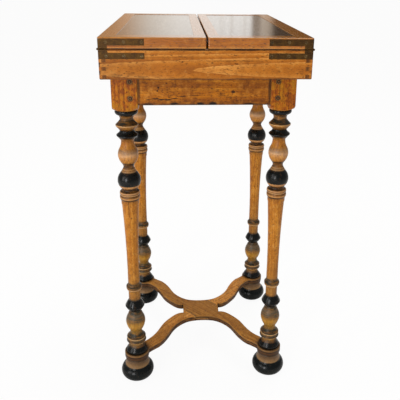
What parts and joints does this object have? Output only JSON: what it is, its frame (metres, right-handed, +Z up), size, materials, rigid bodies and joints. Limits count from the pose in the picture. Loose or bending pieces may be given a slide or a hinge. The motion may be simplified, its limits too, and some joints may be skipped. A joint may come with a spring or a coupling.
{
  "type": "folding chess table",
  "caption": "Antique folding chess table on turned legs with black rings and bun feet, a serpentine cross stretcher, a dovetailed case and hinged panelled leaves",
  "frame": {"origin": "on the floor under the middle of the table", "axes": "+Z up, +X to the right along the short side of the top, -Y the front"},
  "size_m": [0.367, 0.5, 0.76],
  "materials": {
    "leg_wood": "waxed oak with ebonised rings",
    "foot_wood": "ebonised and waxed",
    "apron_wood": "waxed",
    "stretcher_wood": "waxed",
    "peg_wood": "waxed",
    "inner_wood": "bare",
    "case_wood": "waxed",
    "board_border_wood": "polished",
    "light_square_wood": "polished",
    "dark_square_wood": "polished",
    "leaf_frame_wood": "waxed",
    "leaf_panel_wood": "french polished",
    "hinge_brass": "tarnished",
    "screw_iron": "tarnished"
  },
  "bodies": {
    "stand": {"apron_back": "apron_wood", "apron_battens": "inner_wood", "apron_front": "apron_wood", "apron_left": "apron_wood", "apron_right": "apron_wood", "board_bearers": "inner_wood", "board_border": "board_border_wood", "board_dark_squares": "dark_square_wood", "board_ground": "inner_wood", "board_light_squares": "light_square_wood", "case_back": "case_wood", "case_bottom": "inner_wood", "case_fixing_screws": "screw_iron", "case_front": "case_wood", "case_hinge_plate_back_left": "hinge_brass", "case_hinge_plate_back_right": "hinge_brass", "case_hinge_plate_front_left": "hinge_brass", "case_hinge_plate_front_right": "hinge_brass", "case_hinge_screws": "screw_iron", "case_left": "case_wood", "case_right": "case_wood", "foot_back_left": "foot_wood", "foot_back_right": "foot_wood", "foot_front_left": "foot_wood", "foot_front_right": "foot_wood", "hinge_pins": "hinge_brass", "leg_back_left": "leg_wood", "leg_back_right": "leg_wood", "leg_front_left": "leg_wood", "leg_front_right": "leg_wood", "stretcher_lower_half": "stretcher_wood", "stretcher_upper_half": "stretcher_wood", "tenon_pegs": "peg_wood", "well_divider_back": "inner_wood", "well_divider_front": "inner_wood"},
    "left_leaf": {"left_leaf_back_hinge_plate": "hinge_brass", "left_leaf_back_rail": "leaf_frame_wood", "left_leaf_front_hinge_plate": "hinge_brass", "left_leaf_front_rail": "leaf_frame_wood", "left_leaf_hinge_screws": "screw_iron", "left_leaf_inner_stile": "leaf_frame_wood", "left_leaf_outer_stile": "leaf_frame_wood", "left_leaf_panel": "leaf_panel_wood"},
    "right_leaf": {"right_leaf_back_hinge_plate": "hinge_brass", "right_leaf_back_rail": "leaf_frame_wood", "right_leaf_front_hinge_plate": "hinge_brass", "right_leaf_front_rail": "leaf_frame_wood", "right_leaf_hinge_screws": "screw_iron", "right_leaf_inner_stile": "leaf_frame_wood", "right_leaf_outer_stile": "leaf_frame_wood", "right_leaf_panel": "leaf_panel_wood"}
  },
  "joints": [
    {"name": "left_leaf_hinge", "type": "hinge", "parent": "stand", "child": "left_leaf", "pos_m": [-0.1803, 0, 0.7406], "axis": [0, -1, 0], "range_deg": [0, 180]},
    {"name": "right_leaf_hinge", "type": "hinge", "parent": "stand", "child": "right_leaf", "pos_m": [0.1803, 0, 0.7406], "axis": [0, 1, 0], "range_deg": [0, 180]}
  ]
}
